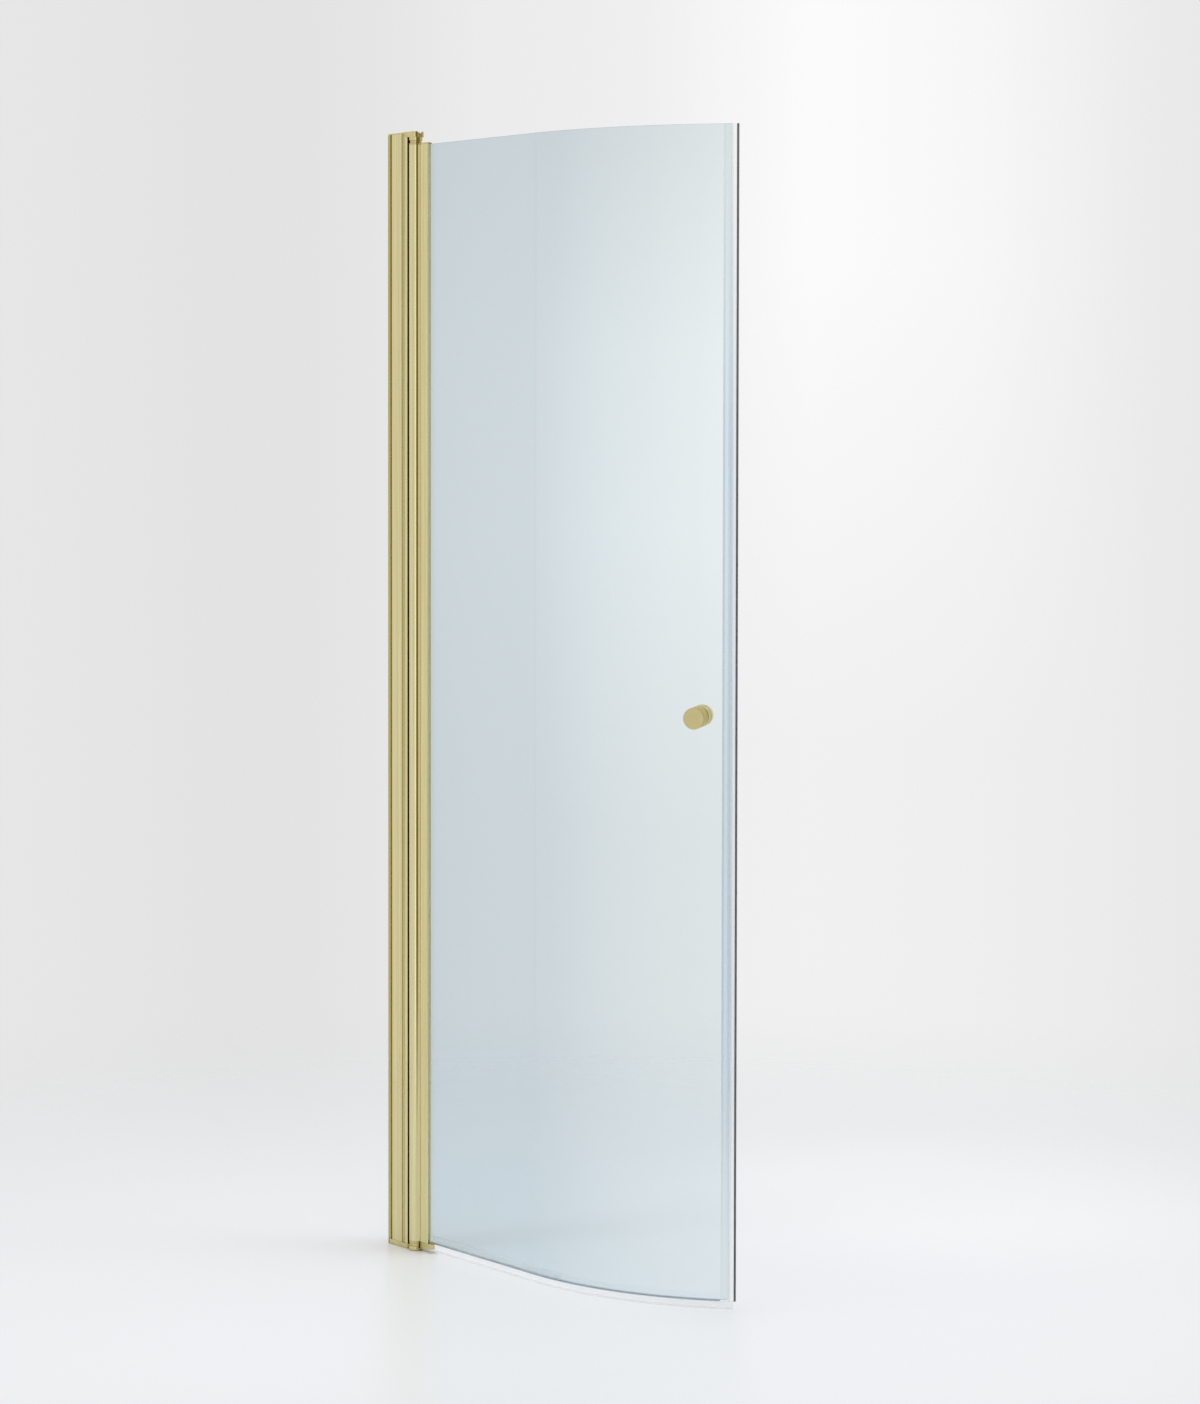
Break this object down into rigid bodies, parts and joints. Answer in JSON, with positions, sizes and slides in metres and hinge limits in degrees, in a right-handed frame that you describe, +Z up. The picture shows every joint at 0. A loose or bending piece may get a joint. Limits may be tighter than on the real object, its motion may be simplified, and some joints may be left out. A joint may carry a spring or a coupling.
{
  "type": "hinged shower door",
  "caption": "Curved clear-glass shower door with a wall profile, a rising pivot hinge, a double-sided knob, a magnetic edge seal and a bottom seal.",
  "frame": {"origin": "on the wall's face, at floor level, in the middle of the glass's thickness", "axes": "+X runs out from the wall along the straight part of the glass, +Z is up, and -Y is the outside of the shower"},
  "size_m": [0.742, 0.1621, 1.95],
  "materials": {
    "gold_profile": "satin light-gold anodised, drawn along its length",
    "strip": "satin gold anodised, a little darker than the profile",
    "gold_bracket": "satin light-gold plated casting",
    "plug": "turned, light-gold plated",
    "knob": "turned, satin light-gold plated, with a polished rim",
    "steel": "plain stainless",
    "nylon": "natural nylon",
    "gasket": "matte black",
    "glazing": "translucent grey silicone",
    "glass": "clear toughened glass with a faint blue tint",
    "clear_seal": "clear soft vinyl",
    "magnet": "dark grey magnet strip"
  },
  "bodies": {
    "wall_frame": {"wall_channel": "gold_profile", "adjusting_profile": "gold_profile", "cover_strip": "strip", "clamp_screws": "steel", "hinge_gaskets": "gasket", "top_bracket": "gold_bracket", "top_bush": "nylon", "top_bracket_screws": "steel", "bottom_bracket": "gold_bracket", "bottom_bush": "nylon", "bottom_bracket_screws": "steel"},
    "pivot_pin": {"lower_pin": "gold_bracket"},
    "door": {"hinge_stile": "gold_profile", "stile_top_cap": "gold_bracket", "stile_foot": "gold_bracket", "cap_screws": "steel", "upper_plug": "plug", "upper_pin": "steel", "lift_bar": "steel", "lower_plug": "plug", "pin_spring": "steel", "plug_screws": "steel", "setting_block": "nylon", "glass_panel": "glass", "outer_glazing_gasket": "glazing", "inner_glazing_gasket": "glazing", "outer_knob": "knob", "inner_knob": "knob", "knob_stud": "steel", "knob_washers": "clear_seal", "magnet_seal": "clear_seal", "magnet_strip": "magnet", "bottom_seal": "clear_seal"}
  },
  "joints": [
    {"name": "door_swing", "type": "hinge", "parent": "wall_frame", "child": "pivot_pin", "pos_m": [0.0688, -0.007, 0], "axis": [0, 0, -1], "range_deg": [0, 90]},
    {"name": "door_lift", "type": "slide", "parent": "pivot_pin", "child": "door", "axis": [0, 0, 1], "range_m": [0, 0.005], "deforming": ["pin_spring"]}
  ],
  "couplings": [
    {"joint": "door_lift", "follows": "door_swing", "m_per_rad": 0.003183}
  ]
}
